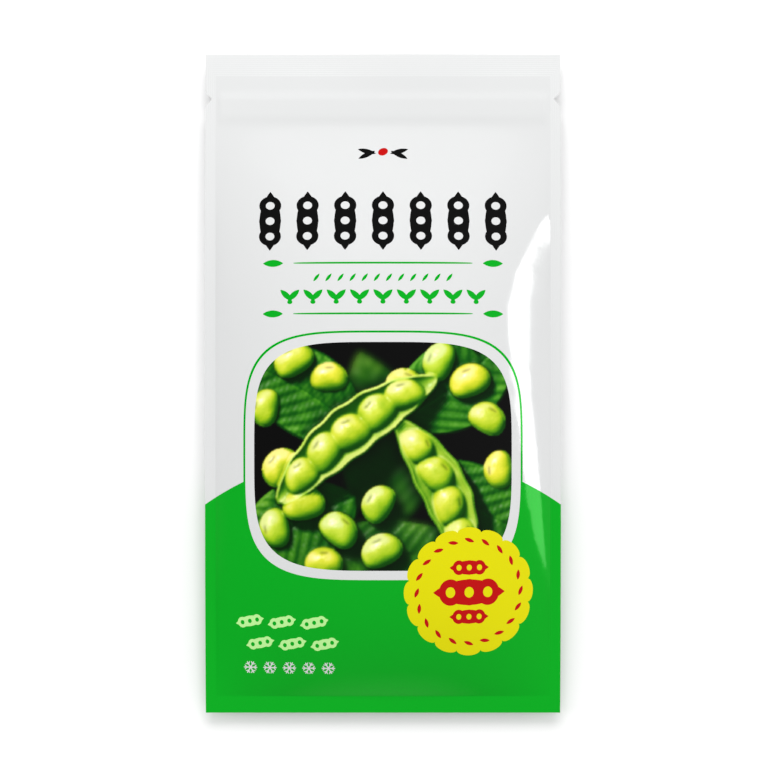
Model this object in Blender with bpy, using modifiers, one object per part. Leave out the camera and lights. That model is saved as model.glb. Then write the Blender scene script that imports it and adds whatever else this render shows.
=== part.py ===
"""A sealed retail pouch of frozen edamame pods, lying on its back.

Two printed films are welded together round their edges. A press-to-close strip
crosses the pouch below the tear notches, and whole pods lie between the films.
Metres, +Z up. +X is the pouch's right and +Y its top edge. The origin is the
middle of the patch that the back film rests on.
"""

import math

import bmesh
import bpy
import numpy as np
from mathutils import Vector

# Pouch outline, seal to seal
WIDTH = 0.210
LENGTH = 0.390
SIDE_SEAL = 0.006
TOP_SEAL = 0.013
BOTTOM_SEAL = 0.010

# Films: laminate thickness, and the gap that keeps the welded films apart
FILM = 0.00015
WELD_GAP = 0.0003

# Filled body: its ends, and how far each wall stands from the seal plane
BODY_TOP = 0.154
BODY_BOTTOM = BOTTOM_SEAL - LENGTH / 2
SEAL_HEIGHT = 0.0150
FRONT_RISE = 0.0315
BACK_DROP = 0.0205
SHOULDER = 2.6
SIDE_EASE = 1.0
TOP_SLOPE = 2.6
TOP_EASE = 1.35
BOTTOM_SLOPE = 4.2
BOTTOM_EASE = 1.0
END_DROOP = 0.0060
DROOP_POWER = 3
EDGE_WAVE = 0.0007
WAVE_TURNS = 46.0
WAVE_START = 0.6

# Tear notches in both side seals
NOTCH_Y = 0.1684
NOTCH_DEPTH = 0.0040
NOTCH_HALF = 0.0040

# Press-to-close strip: a groove under the front film and a rib on the back one
ZIP_Y = 0.1630
ZIP_LENGTH = 0.190
ZIP_FLANGE = 0.0080
ZIP_WEB = 0.0002
ZIP_REACH = 0.0005
ZIP_GROOVE = 0.0026
ZIP_WALL = 0.0005
ZIP_HOOK = 0.0002
ZIP_RIB = 0.0014
ZIP_NECK = 0.6
ZIP_PARTING = 0.0015
ZIP_FADE = 0.0075
GAP = 0.0003

# Pods: two or three beans in a row between a stalk end and a beak
BEAN_PITCH = 0.0145
POD_TAPER = 0.0075
POD_WIDTH = 0.0125
POD_THICKNESS = 0.0088
POD_BEND = 0.0022
POD_PINCH = 0.12
POD_BLUNTNESS = 0.55
POD_CLEARANCE = 0.0010
POD_NODES = 56

# The heap of pods, dropped one after another into the lowest place found
HEAP_SEED = 11
TWO_BEAN_SHARE = 0.35
HEAP_LIMIT = 400
HEAP_TRIES = 800
HEAP_MISSES = 20
HEAP_CELL = 0.0015
HEAP_SLACK = 0.0003
HEAP_ROUNDNESS = 0.96

# Mesh resolution
COLUMNS = 26
ROWS = 34
SHOULDER_GAPS = 2.2
POD_SIDES = 8
POD_RINGS = 10


def clear_scene():
    for obj in list(bpy.data.objects):
        bpy.data.objects.remove(obj, do_unlink=True)


def new_collection(name):
    collection = bpy.data.collections.new(name)
    bpy.context.scene.collection.children.link(collection)
    return collection


def material(name, color, roughness):
    mat = bpy.data.materials.new(name)
    mat.use_nodes = True
    shader = mat.node_tree.nodes["Principled BSDF"]
    shader.inputs["Base Color"].default_value = (*color, 1.0)
    shader.inputs["Roughness"].default_value = roughness
    shader.inputs["Metallic"].default_value = 0.0
    mat.diffuse_color = (*color, 1.0)
    return mat


def clamp01(value):
    return max(0.0, min(1.0, value))


def smooth(value):
    value = clamp01(value)
    return value * value * (3 - 2 * value)


# The walls' shape


def body_share(y):
    """Distance from the body's middle, 0, to its top or bottom end, 1."""
    middle = (BODY_TOP + BODY_BOTTOM) / 2
    return clamp01(abs(y - middle) / ((BODY_TOP - BODY_BOTTOM) / 2))


def fullness(x, y):
    """How far the walls stand apart: 1 in the middle, 0 at the seals."""
    across = clamp01(abs(x) / (WIDTH / 2 - SIDE_SEAL))
    along = body_share(y)
    top_end = y > (BODY_TOP + BODY_BOTTOM) / 2
    slope, ease = (TOP_SLOPE, TOP_EASE) if top_end else (BOTTOM_SLOPE, BOTTOM_EASE)
    return (1 - across**SHOULDER) ** SIDE_EASE * (1 - along**slope) ** ease


def seal_plane(x, y):
    """The welded edges' height: the flat ends droop, and the free top edge waves a little."""
    droop = END_DROOP * (abs(y) / (LENGTH / 2)) ** DROOP_POWER
    ripple = EDGE_WAVE * math.sin(x * WAVE_TURNS + WAVE_START)
    wave = ripple * smooth((y - ZIP_Y) / (LENGTH / 2 - ZIP_Y))
    return SEAL_HEIGHT - droop + wave


def zip_parting(x, y):
    """Half of the opening that the closed strip holds between the two walls."""
    past_flange = abs(y - ZIP_Y) - ZIP_FLANGE / 2
    past_end = abs(x) - ZIP_LENGTH / 2 - GAP
    room_at_end = WIDTH / 2 - SIDE_SEAL - ZIP_LENGTH / 2 - GAP
    return ZIP_PARTING / 2 * smooth(1 - past_flange / ZIP_FADE) * smooth(1 - past_end / room_at_end)


def front_height(x, y):
    """The front film's inner face."""
    rise = FRONT_RISE * fullness(x, y)
    return seal_plane(x, y) + WELD_GAP / 2 + max(zip_parting(x, y), rise)


def back_height(x, y):
    """The back film's inner face, flat where the pouch rests on a surface."""
    drop = BACK_DROP * fullness(x, y)
    height = seal_plane(x, y) - WELD_GAP / 2 - max(zip_parting(x, y), drop)
    return max(FILM, height)


# Films


def eased_stations(start, end, count):
    """Stations from start to end, closer together towards both."""
    return [start + (end - start) * (1 - math.cos(math.pi * i / count)) / 2 for i in range(count + 1)]


def film_columns():
    """Columns at the side seals and the strip's ends, and eased ones between."""
    half = WIDTH / 2
    inner = half - SIDE_SEAL
    strip_end = ZIP_LENGTH / 2 + GAP
    shoulder = inner - SHOULDER_GAPS * (inner - strip_end)
    between = eased_stations(-shoulder, shoulder, COLUMNS - 6)
    return [-half, -inner, -strip_end] + between + [strip_end, inner, half]


def film_rows():
    """Rows at the seals, the strip and the notches, and eased ones over the body."""
    half = LENGTH / 2
    flange = ZIP_FLANGE / 2
    header = [
        ZIP_Y - flange,
        ZIP_Y + flange,
        ZIP_Y + flange + ZIP_FADE,
        NOTCH_Y - NOTCH_HALF,
        NOTCH_Y,
        NOTCH_Y + NOTCH_HALF,
        half - TOP_SEAL,
        half,
    ]
    body = eased_stations(BODY_BOTTOM, BODY_TOP, ROWS - len(header) - 1)
    return sorted([-half] + body + header)


def notch_inset(y):
    return NOTCH_DEPTH * clamp01(1 - abs(y - NOTCH_Y) / NOTCH_HALF)


def make_film(name, height, outward, mat, collection):
    """A grid laid over the wall's shape and given its thickness outwards."""
    columns, rows = film_columns(), film_rows()
    bpy.ops.mesh.primitive_grid_add(
        x_subdivisions=len(columns) - 1, y_subdivisions=len(rows) - 1, size=1
    )
    film = bpy.context.object
    film.name = film.data.name = name
    mesh = film.data
    for vertex in mesh.vertices:
        column = round((vertex.co.x + 0.5) * (len(columns) - 1))
        row = round((vertex.co.y + 0.5) * (len(rows) - 1))
        x, y = columns[column], rows[row]
        z = height(x, y)
        if column in (0, len(columns) - 1):
            x -= math.copysign(notch_inset(y), x)
        vertex.co = (x, y, z)
    if outward < 0:
        mesh.flip_normals()
    shell = film.modifiers.new("laminate", "SOLIDIFY")
    shell.thickness = FILM
    shell.offset = 1.0
    shell.use_even_offset = False
    finish(film, mat, collection)
    return film


def finish(obj, mat, collection):
    obj.data.materials.clear()
    obj.data.materials.append(mat)
    for used in list(obj.users_collection):
        used.objects.unlink(obj)
    collection.objects.link(obj)


# Press-to-close strip


def extrude_profile(name, outline, mat, collection):
    """A flat outline in Y and Z, run across the pouch along X."""
    curve = bpy.data.curves.new(name, "CURVE")
    curve.dimensions = "2D"
    curve.fill_mode = "BOTH"
    curve.extrude = ZIP_LENGTH / 2
    spline = curve.splines.new("POLY")
    spline.points.add(len(outline) - 1)
    for point, (y, z) in zip(spline.points, outline):
        point.co = (y, z, 0.0, 1.0)
    spline.use_cyclic_u = True
    guide = bpy.data.objects.new(name + "_outline", curve)
    collection.objects.link(guide)
    guide.rotation_euler = (math.pi / 2, 0.0, math.pi / 2)
    guide.location = (0.0, ZIP_Y, 0.0)
    bpy.context.view_layer.update()
    evaluated = guide.evaluated_get(bpy.context.evaluated_depsgraph_get())
    mesh = bpy.data.meshes.new_from_object(evaluated)
    weld = bmesh.new()
    weld.from_mesh(mesh)
    bmesh.ops.remove_doubles(weld, verts=weld.verts, dist=1e-6)
    bmesh.ops.recalc_face_normals(weld, faces=weld.faces)
    weld.to_mesh(mesh)
    weld.free()
    strip = bpy.data.objects.new(name, mesh)
    strip.matrix_world = guide.matrix_world.copy()
    collection.objects.link(strip)
    bpy.data.objects.remove(guide, do_unlink=True)
    mesh.name = name
    strip.data.materials.clear()
    strip.data.materials.append(mat)
    return strip


def on_seal_plane(outline):
    """An outline in Y from the strip's middle line and Z from the drooping seal plane."""
    return [(y, z + seal_plane(0.0, ZIP_Y + y)) for y, z in outline]


def groove_outline():
    """The front half: a flange under the film with a hooked channel open downwards."""
    half, inner = ZIP_FLANGE / 2, ZIP_GROOVE / 2
    top = (ZIP_PARTING + WELD_GAP) / 2 - GAP
    web = top - ZIP_WEB
    lip = web - ZIP_REACH
    right = [
        (inner, web),
        (inner - ZIP_HOOK, lip),
        (inner + ZIP_WALL, lip),
        (inner + ZIP_WALL, web),
        (half, web),
        (half, top),
    ]
    left = [(-y, z) for y, z in reversed(right)]
    return on_seal_plane(right + left)


def rib_outline():
    """The back half: a flange over the film with a headed rib standing in the channel."""
    half, head = ZIP_FLANGE / 2, ZIP_RIB / 2
    bottom = GAP - (ZIP_PARTING + WELD_GAP) / 2
    web = bottom + ZIP_WEB
    right = [
        (half, bottom),
        (half, web),
        (head * ZIP_NECK, web),
        (head, web + ZIP_REACH),
    ]
    left = [(-y, z) for y, z in reversed(right)]
    return on_seal_plane(right + left)


# Pods


def pod_length(beans):
    return beans * BEAN_PITCH + 2 * POD_TAPER


def pod_reach(share, beans):
    """A pod's girth at a share of its length, as a part of its greatest girth."""
    taper = np.sin(np.pi * np.clip(share, 0, 1)) ** POD_BLUNTNESS
    along = share * pod_length(beans) - POD_TAPER
    return taper * (1 - POD_PINCH * (1 + np.cos(2 * np.pi * along / BEAN_PITCH)) / 2)


def pod_bow(share):
    return POD_BEND * (1 - (2 * share - 1) ** 2)


def pod_mesh(name, beans):
    """A ball drawn out along X, pinched between the beans and bent a little."""
    mesh = bpy.data.meshes.new(name)
    shape = bmesh.new()
    bmesh.ops.create_uvsphere(shape, u_segments=POD_SIDES, v_segments=POD_RINGS, radius=1.0)
    for vertex in shape.verts:
        share = 1 - math.acos(max(-1.0, min(1.0, vertex.co.z))) / math.pi
        ring = Vector((vertex.co.x, vertex.co.y, 0.0))
        if ring.length > 1e-6:
            ring.normalize()
        reach = float(pod_reach(share, beans))
        vertex.co = (
            (share - 0.5) * pod_length(beans),
            ring.x * reach * POD_WIDTH / 2 + pod_bow(share),
            ring.y * reach * POD_THICKNESS / 2,
        )
    shape.to_mesh(mesh)
    shape.free()
    return mesh


# The heap


def pod_footprint(beans):
    """Points over a pod seen from above, with half of its thickness at each."""
    along = max(2, round(pod_length(beans) / HEAP_CELL))
    across = max(2, round(POD_WIDTH / HEAP_CELL)) + 1
    share, side = np.meshgrid((np.arange(along) + 0.5) / along, np.linspace(-1, 1, across))
    reach = pod_reach(share, beans)
    x = (share - 0.5) * (pod_length(beans) + 2 * HEAP_SLACK)
    y = side * (reach * POD_WIDTH / 2 + HEAP_SLACK) + pod_bow(share)
    half = reach * POD_THICKNESS / 2 * np.sqrt(np.clip(1 - HEAP_ROUNDNESS * side**2, 0, 1)) + HEAP_SLACK
    return x.ravel(), y.ravel(), half.ravel()


def wall_maps():
    """The inner heights of both walls over a grid of cells, less the clearance."""
    nx, ny = round(WIDTH / HEAP_CELL), round(LENGTH / HEAP_CELL)
    floor, roof = np.empty((nx, ny)), np.empty((nx, ny))
    for i in range(nx):
        for j in range(ny):
            x, y = (i + 0.5) * HEAP_CELL - WIDTH / 2, (j + 0.5) * HEAP_CELL - LENGTH / 2
            floor[i, j] = back_height(x, y) + POD_CLEARANCE
            roof[i, j] = front_height(x, y) - POD_CLEARANCE
    return floor, roof


def heap_pods():
    """Each pod lies where, of several random tries, it comes to rest lowest."""
    rng = np.random.default_rng(HEAP_SEED)
    footprints = {beans: pod_footprint(beans) for beans in (2, 3)}
    floor, roof = wall_maps()
    top = floor.copy()
    placed, misses = [], 0
    while len(placed) < HEAP_LIMIT and misses < HEAP_MISSES:
        beans = 2 if rng.random() < TWO_BEAN_SHARE else 3
        x = rng.uniform(-WIDTH / 2, WIDTH / 2, HEAP_TRIES)
        y = rng.uniform(BODY_BOTTOM, BODY_TOP, HEAP_TRIES)
        turn = rng.uniform(0, 2 * np.pi, HEAP_TRIES)
        fx, fy, half = footprints[beans]
        px = x[:, None] + fx * np.cos(turn)[:, None] - fy * np.sin(turn)[:, None]
        py = y[:, None] + fx * np.sin(turn)[:, None] + fy * np.cos(turn)[:, None]
        i = np.clip(((px + WIDTH / 2) / HEAP_CELL).astype(int), 0, top.shape[0] - 1)
        j = np.clip(((py + LENGTH / 2) / HEAP_CELL).astype(int), 0, top.shape[1] - 1)
        z = np.round((top[i, j] + half).max(axis=1), 6)
        z[(z[:, None] + half > roof[i, j]).any(axis=1)] = np.inf
        best = int(np.argmin(z))
        if np.isinf(z[best]):
            misses += 1
            continue
        misses = 0
        np.maximum.at(top, (i[best], j[best]), z[best] + half)
        placed.append((x[best], y[best], z[best], turn[best], beans))
    return placed


def make_pods(mat, collection):
    """Pods taken evenly from the heap, bottom to top, each its own object."""
    heap = heap_pods()
    step = len(heap) / POD_NODES
    for number in range(POD_NODES):
        x, y, z, turn, beans = heap[int((number + 0.5) * step)]
        name = "pod_%02d" % (number + 1)
        pod = bpy.data.objects.new(name, pod_mesh(name, beans))
        pod.location = (x, y, z)
        pod.rotation_euler = (0.0, 0.0, turn)
        collection.objects.link(pod)
        pod.data.materials.append(mat)
        pod.data.shade_smooth()


def main():
    clear_scene()
    pouch = new_collection("edamame_pouch")
    front = material("front_film", (0.80, 0.81, 0.81), 0.30)
    back = material("back_film", (0.02, 0.35, 0.05), 0.35)
    strip = material("zip_polyethylene", (0.75, 0.78, 0.78), 0.45)
    green = material("pod_skin", (0.16, 0.32, 0.04), 0.55)
    make_film("front_film", front_height, 1, front, pouch)
    make_film("back_film", back_height, -1, back, pouch)
    extrude_profile("zip_groove", groove_outline(), strip, pouch)
    extrude_profile("zip_rib", rib_outline(), strip, pouch)
    make_pods(green, pouch)


main()
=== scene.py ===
"""Looks of a sealed retail pouch of frozen edamame pods, lying on its back on a pale floor."""

import math

import bpy
import numpy as np
from mathutils import Matrix, Vector


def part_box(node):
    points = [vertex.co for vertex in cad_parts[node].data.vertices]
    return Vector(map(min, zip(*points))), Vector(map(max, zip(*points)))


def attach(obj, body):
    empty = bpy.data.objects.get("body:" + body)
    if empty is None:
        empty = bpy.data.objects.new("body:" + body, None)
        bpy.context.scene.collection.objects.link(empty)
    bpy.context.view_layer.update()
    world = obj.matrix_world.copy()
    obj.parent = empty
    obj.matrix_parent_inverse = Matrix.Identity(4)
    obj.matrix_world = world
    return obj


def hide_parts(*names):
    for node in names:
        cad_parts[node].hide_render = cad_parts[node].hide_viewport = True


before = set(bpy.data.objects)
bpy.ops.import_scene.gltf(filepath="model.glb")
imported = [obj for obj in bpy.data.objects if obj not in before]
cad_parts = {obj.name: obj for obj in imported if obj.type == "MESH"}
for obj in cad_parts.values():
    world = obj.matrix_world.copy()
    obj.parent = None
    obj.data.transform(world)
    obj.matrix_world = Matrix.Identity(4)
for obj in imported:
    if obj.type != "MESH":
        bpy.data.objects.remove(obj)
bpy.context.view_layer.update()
TO_MM = 1000.0

# The pouch's outline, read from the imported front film
HALF_WIDTH, HALF_LENGTH = (round(side, 4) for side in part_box("front_film")[1][:2])

# Seals and film
SIDE_SEAL = 0.006
TOP_SEAL = 0.013
BOTTOM_SEAL = 0.010
FILM = 0.00015
WELD_GAP = 0.0003
# Painted light: the seals' print is made this much paler, standing in for the brighter light that the flat
# seals catch beside the curving body
SEAL_PAINTED_LIGHT = 1.04
JAW_RIB_MM = 1.2

# The filled body
BODY_TOP = 0.154
BODY_BOTTOM = BOTTOM_SEAL - HALF_LENGTH
SEAL_HEIGHT = 0.0150
FRONT_RISE = 0.0315
BACK_DROP = 0.0205
SHOULDER = 2.6
SIDE_EASE = 1.0
TOP_SLOPE, TOP_EASE = 2.6, 1.35
BOTTOM_SLOPE, BOTTOM_EASE = 4.2, 1.0
END_DROOP = 0.0060
DROOP_POWER = 3
EDGE_WAVE = 0.0007
WAVE_TURNS, WAVE_START = 46.0, 0.6
SWELL = 0.00022
LUMP = 0.00006

# Tear notches and the press-to-close strip
NOTCH_Y = 0.1684
NOTCH_DEPTH = 0.0040
NOTCH_HALF = 0.0040
ZIP_Y = 0.1630
ZIP_HALF = 0.0953
ZIP_FLANGE = 0.0080
ZIP_PARTING = 0.0015
ZIP_FADE = 0.0075

# Pods, and the heap that they lie in between the walls
BEAN_PITCH = 0.0145
POD_TAPER = 0.0075
POD_WIDTH = 0.0125
POD_THICKNESS = 0.0088
POD_BEND = 0.0022
POD_PINCH = 0.12
POD_BLUNTNESS = 0.55
POD_CLEARANCE = 0.0010
POD_SIDES, POD_RINGS = 8, 8
HEAP_SEED = 11
TWO_BEAN_SHARE = 0.35
HEAP_LIMIT = 400
HEAP_TRIES = 800
HEAP_MISSES = 20
HEAP_CELL = 0.0015
HEAP_SLACK = 0.0003
HEAP_ROUNDNESS = 0.96
SAME_POD = 0.004

# The panels' grids: near the seals, over the body, and cuts in each cell under the picture
FINE_CELL = 0.0008
BODY_CELL = 0.0024
CELL_SPREAD = 5
PICTURE_CUTS = 3
PICTURE_MARGIN = 1.02
CREASE = math.radians(14)

# The picture on the front, in millimetres
PICTURE_PLACE = (0.0, -42.0)
PICTURE_HALF = (75.0, 66.0)
PICTURE_CELL = 0.225
PICTURE_LIGHT = (-0.46, 0.56, 0.69)
LAYOUT_SEED, GRAIN_SEED = 5, 3


def linear(hex_colour):
    """An sRGB hex value as linear red, green, blue and full alpha."""
    parts = [int(hex_colour[i : i + 2], 16) / 255 for i in (1, 3, 5)]
    return [c / 12.92 if c <= 0.04045 else ((c + 0.055) / 1.055) ** 2.4 for c in parts] + [1.0]


def node(tree, kind, inputs=None, **settings):
    """Adds a node, sets it up, and fills or links its inputs."""
    made = tree.nodes.new(kind)
    for name, value in settings.items():
        setattr(made, name, value)
    for name, value in (inputs or {}).items():
        if isinstance(value, bpy.types.NodeSocket):
            tree.links.new(value, made.inputs[name])
        else:
            made.inputs[name].default_value = value
    return made


def smooth(value):
    value = np.clip(value, 0, 1)
    return value * value * (3 - 2 * value)


# The walls' shape, with x and y as arrays


def fullness(x, y):
    """How far the walls stand apart: 1 in the middle, 0 at the seals."""
    across = np.clip(np.abs(x) / (HALF_WIDTH - SIDE_SEAL), 0, 1)
    middle, half = (BODY_TOP + BODY_BOTTOM) / 2, (BODY_TOP - BODY_BOTTOM) / 2
    along = np.clip(np.abs(y - middle) / half, 0, 1)
    top_end = (1 - along**TOP_SLOPE) ** TOP_EASE
    bottom_end = (1 - along**BOTTOM_SLOPE) ** BOTTOM_EASE
    return (1 - across**SHOULDER) ** SIDE_EASE * np.where(y > middle, top_end, bottom_end)


def seal_plane(x, y):
    droop = END_DROOP * (np.abs(y) / HALF_LENGTH) ** DROOP_POWER
    ripple = EDGE_WAVE * np.sin(x * WAVE_TURNS + WAVE_START)
    return SEAL_HEIGHT - droop + ripple * smooth((y - ZIP_Y) / (HALF_LENGTH - ZIP_Y))


def zip_parting(x, y):
    past_flange = np.abs(y - ZIP_Y) - ZIP_FLANGE / 2
    past_end = np.abs(x) - ZIP_HALF
    room = HALF_WIDTH - SIDE_SEAL - ZIP_HALF
    return ZIP_PARTING / 2 * smooth(1 - past_flange / ZIP_FADE) * smooth(1 - past_end / room)


def front_wall(x, y):
    return seal_plane(x, y) + np.maximum(zip_parting(x, y), FRONT_RISE * fullness(x, y))


def back_wall(x, y):
    return seal_plane(x, y) - np.maximum(zip_parting(x, y), BACK_DROP * fullness(x, y))


def dents(x, y, full):
    """The film's unevenness over the pods, fading out at the seals, where full is 0.

    The swells are 0.15 to 0.19 m long, and the lumps are about 25 mm, half a pod. Both
    wander, so that they never line up in rows.
    """
    swells = SWELL * np.sin(x * 41 + 1.3 * np.sin(y * 23)) * np.sin(y * 33 + 0.8)
    lumps = LUMP * np.sin(x * 290 + 2.1 * np.sin(y * 84)) * np.sin(y * 230 + 2 * np.sin(x * 75 + 0.5))
    return swells * smooth(full * 3) + lumps * smooth(full * 1.3)


def front_height(x, y):
    return front_wall(x, y) + dents(x, y, fullness(x, y))


def back_height(x, y):
    return np.maximum(FILM, back_wall(x, y) + dents(y, x, fullness(x, y)))


# The panels


def film_lines(start, end, places):
    """Grid lines from start to end that crowd together near the given places."""
    lines = [start]
    while lines[-1] < end - FINE_CELL:
        gap = min(abs(lines[-1] - place) for place in places)
        lines.append(lines[-1] + min(BODY_CELL, FINE_CELL + gap / CELL_SPREAD))
    lines[-1] = end
    return np.array(lines)


def read_points(mesh):
    points = np.empty(len(mesh.vertices) * 3)
    mesh.vertices.foreach_get("co", points)
    return points.reshape(-1, 3)


def lay_film(name, height, outward, material, lining):
    """A grid laid over a wall's shape, then given the film's thickness with its print outside."""
    seal_x = HALF_WIDTH - SIDE_SEAL
    columns = film_lines(-HALF_WIDTH, HALF_WIDTH, (-HALF_WIDTH, -seal_x, seal_x, HALF_WIDTH))
    ends = (-HALF_LENGTH, BODY_BOTTOM, ZIP_Y, NOTCH_Y, HALF_LENGTH - TOP_SEAL, HALF_LENGTH)
    rows = film_lines(-HALF_LENGTH, HALF_LENGTH, ends)
    bpy.ops.object.select_all(action="DESELECT")
    bpy.ops.mesh.primitive_grid_add(x_subdivisions=len(columns) - 1, y_subdivisions=len(rows) - 1, size=1)
    film = bpy.context.object
    film.name = film.data.name = name
    points = read_points(film.data)
    x = columns[np.rint((points[:, 0] + 0.5) * (len(columns) - 1)).astype(int)]
    y = rows[np.rint((points[:, 1] + 0.5) * (len(rows) - 1)).astype(int)]
    z = height(x, y)
    inset = NOTCH_DEPTH * np.clip(1 - np.abs(y - NOTCH_Y) / NOTCH_HALF, 0, 1)
    reach = np.clip((np.abs(x) - seal_x) / SIDE_SEAL, 0, 1)
    film.data.vertices.foreach_set("co", np.column_stack([x - np.sign(x) * inset * reach, y, z]).ravel())
    if outward < 0:
        film.data.flip_normals()
    film.data.materials.append(material)
    film.data.materials.append(lining)
    film.data.shade_smooth()
    shell = film.modifiers.new("laminate", "SOLIDIFY")
    shell.thickness, shell.offset, shell.use_even_offset = FILM, 1.0, False
    shell.material_offset = shell.material_offset_rim = 1
    bpy.ops.object.modifier_apply(modifier=shell.name)
    bpy.ops.object.shade_smooth_by_angle(angle=CREASE)
    return film


def in_picture(x, y, grow=1.0):
    """Inside the picture's rounded outline, with x and y in metres."""
    across = (x * TO_MM - PICTURE_PLACE[0]) / (PICTURE_HALF[0] * grow)
    along = (y * TO_MM - PICTURE_PLACE[1]) / (PICTURE_HALF[1] * grow)
    return across**4 + along**4 < 1


def print_picture(film):
    """Cuts the front's outer skin finer under the picture and gives its points their ink."""
    mesh = film.data
    bpy.ops.object.select_all(action="DESELECT")
    film.select_set(True)
    bpy.context.view_layer.objects.active = film
    bpy.ops.object.mode_set(mode="EDIT")
    bpy.ops.mesh.select_all(action="DESELECT")
    bpy.ops.mesh.select_mode(type="FACE")
    bpy.ops.object.mode_set(mode="OBJECT")
    centres, normals = np.empty(len(mesh.polygons) * 3), np.empty(len(mesh.polygons) * 3)
    mesh.polygons.foreach_get("center", centres)
    mesh.polygons.foreach_get("normal", normals)
    centres, normals = centres.reshape(-1, 3), normals.reshape(-1, 3)
    chosen = (normals[:, 2] > 0) & in_picture(centres[:, 0], centres[:, 1], PICTURE_MARGIN)
    mesh.polygons.foreach_set("select", chosen)
    coarse = len(mesh.vertices)
    bpy.ops.object.mode_set(mode="EDIT")
    bpy.ops.mesh.subdivide(number_cuts=PICTURE_CUTS)
    bpy.ops.object.mode_set(mode="OBJECT")
    points = read_points(mesh)
    fresh = points[coarse:]
    fresh[:, 2] = front_height(fresh[:, 0], fresh[:, 1]) + FILM / np.cos(np.arctan(steepness(fresh)))
    mesh.vertices.foreach_set("co", points.ravel())
    ink = mesh.attributes.new("picture", "FLOAT_COLOR", "POINT")
    picture = paint_picture()
    column = (points[:, 0] * TO_MM - PICTURE_PLACE[0] + PICTURE_HALF[0]) / PICTURE_CELL
    row = (points[:, 1] * TO_MM - PICTURE_PLACE[1] + PICTURE_HALF[1]) / PICTURE_CELL
    column = np.clip(np.rint(column).astype(int), 0, picture.shape[0] - 1)
    row = np.clip(np.rint(row).astype(int), 0, picture.shape[1] - 1)
    ink.data.foreach_set("color", np.column_stack([picture[column, row], np.ones(len(points))]).ravel())


def steepness(points, step=0.0005):
    """The front's slope at each point."""
    x, y = points[:, 0], points[:, 1]
    along_x = (front_height(x + step, y) - front_height(x - step, y)) / (2 * step)
    along_y = (front_height(x, y + step) - front_height(x, y - step)) / (2 * step)
    return np.hypot(along_x, along_y)


# The picture: opened pods and loose beans on soy leaves, built as heights and then lit

# x, y, heading, length, girth, level
LEAVES = [
    (-50, 40, 150, 92, 50, -13),
    (48, 46, 40, 96, 52, -12),
    (60, -34, -30, 84, 48, -12),
    (-56, -44, 215, 90, 50, -13),
    (2, 10, 100, 104, 56, -18),
    (6, -58, 5, 90, 44, -16),
]
# x, y, heading, length, girth, level, beans
OPEN_PODS = [
    (-17, 12, 38, 118, 30, 0, 5),
    (32, -20, -64, 96, 28, 3, 4),
]
# x, y, size, heading, level
LOOSE_BEANS = [
    (50, 44, 9.4, 20, -5),
    (32, 55, 8.8, 70, -7),
    (61, 22, 8.8, -30, -7),
    (-60, -6, 9.4, 50, -6),
    (-46, -27, 9.7, 10, -3),
    (-25, -42, 9.2, -40, -5),
    (-63, -42, 8.8, 100, -8),
    (-1, -54, 9.4, 25, -6),
    (13, 42, 8.6, -20, -6),
    (-52, 56, 9.2, 30, -7),
    (-69, 28, 8.4, 80, -9),
    (67, -8, 8.6, 95, -9),
    (63, -57, 9.2, 40, -6),
    (-34, -61, 8.6, 0, -9),
    (-3, -27, 8.8, 60, -7),
    (-31, 46, 8.4, 0, -10),
]
BARE, LEAF, SHELL, BEAN = range(4)
# Brightness, then the ink's linear red, green and blue
LEAF_INKS = [
    (0.0, (0.000, 0.004, 0.000)),
    (0.3, (0.000, 0.030, 0.001)),
    (0.6, (0.004, 0.115, 0.003)),
    (0.9, (0.045, 0.270, 0.008)),
    (1.15, (0.150, 0.450, 0.030)),
]
SHELL_INKS = [
    (0.0, (0.000, 0.018, 0.000)),
    (0.25, (0.012, 0.120, 0.002)),
    (0.5, (0.110, 0.330, 0.007)),
    (0.8, (0.370, 0.580, 0.030)),
    (1.15, (0.700, 0.800, 0.160)),
]
BEAN_INKS = [
    (0.0, (0.000, 0.022, 0.000)),
    (0.2, (0.008, 0.110, 0.002)),
    (0.45, (0.120, 0.340, 0.004)),
    (0.7, (0.430, 0.600, 0.010)),
    (0.95, (0.740, 0.790, 0.050)),
    (1.15, (0.930, 0.910, 0.280)),
]


def blur(field, radius):
    """Three running means along each axis, close to a soft lens blur."""
    size = 2 * radius + 1
    for _ in range(3):
        for axis in (0, 1):
            pads = [(0, 0)] * field.ndim
            pads[axis] = (radius + 1, radius)
            total = np.cumsum(np.pad(field, pads, mode="edge"), axis=axis)
            count = field.shape[axis]
            upper = np.take(total, np.arange(size, size + count), axis=axis)
            field = (upper - np.take(total, np.arange(count), axis=axis)) / size
    return field


def blend(brightness, inks):
    stops = [stop for stop, _ in inks]
    return np.stack([np.interp(brightness, stops, [ink[k] for _, ink in inks]) for k in range(3)], -1)


def seen_from(x, y, place, heading):
    """Distances along and across a shape that lies at a heading in degrees."""
    cos, sin = math.cos(math.radians(heading)), math.sin(math.radians(heading))
    dx, dy = x - place[0], y - place[1]
    return dx * cos + dy * sin, dy * cos - dx * sin


def lay(field, mask, level, kind, tone, hue):
    """Puts a shape into the picture wherever it stands above what is there."""
    over = mask & (level > field["height"])
    for key, value in (("height", level), ("kind", kind), ("tone", tone), ("hue", hue)):
        field[key] = np.where(over, value, field[key])


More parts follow.
